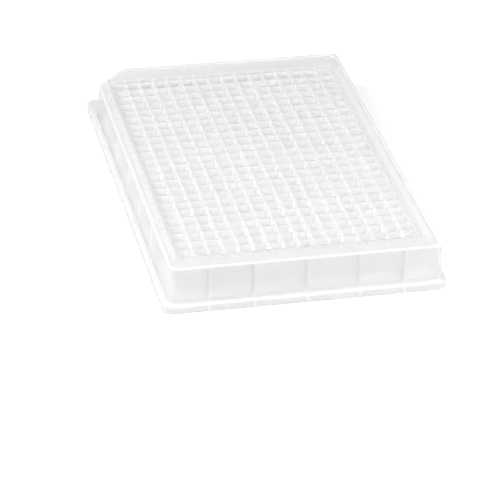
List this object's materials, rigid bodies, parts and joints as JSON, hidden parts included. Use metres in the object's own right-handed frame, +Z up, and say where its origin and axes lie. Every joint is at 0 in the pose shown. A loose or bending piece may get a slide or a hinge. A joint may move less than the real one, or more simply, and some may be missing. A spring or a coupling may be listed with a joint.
{
  "type": "well plate",
  "caption": "Rectangular laboratory microplate with a fine grid of square wells, a lettered and numbered deck, one cut corner and a flanged skirt.",
  "frame": {"origin": "centre of the plate in plan, at the level of the face it stands on", "axes": "+X along the columns' numbers (long side), +Y towards row A and the numbered side, +Z up out of the wells; the cut corner is at +X, +Y"},
  "size_m": [0.1278, 0.0854, 0.014],
  "materials": {
    "well_plate": "natural polypropylene, translucent, fine matt"
  },
  "bodies": {
    "root": {"well_plate": "well_plate"}
  },
  "joints": []
}
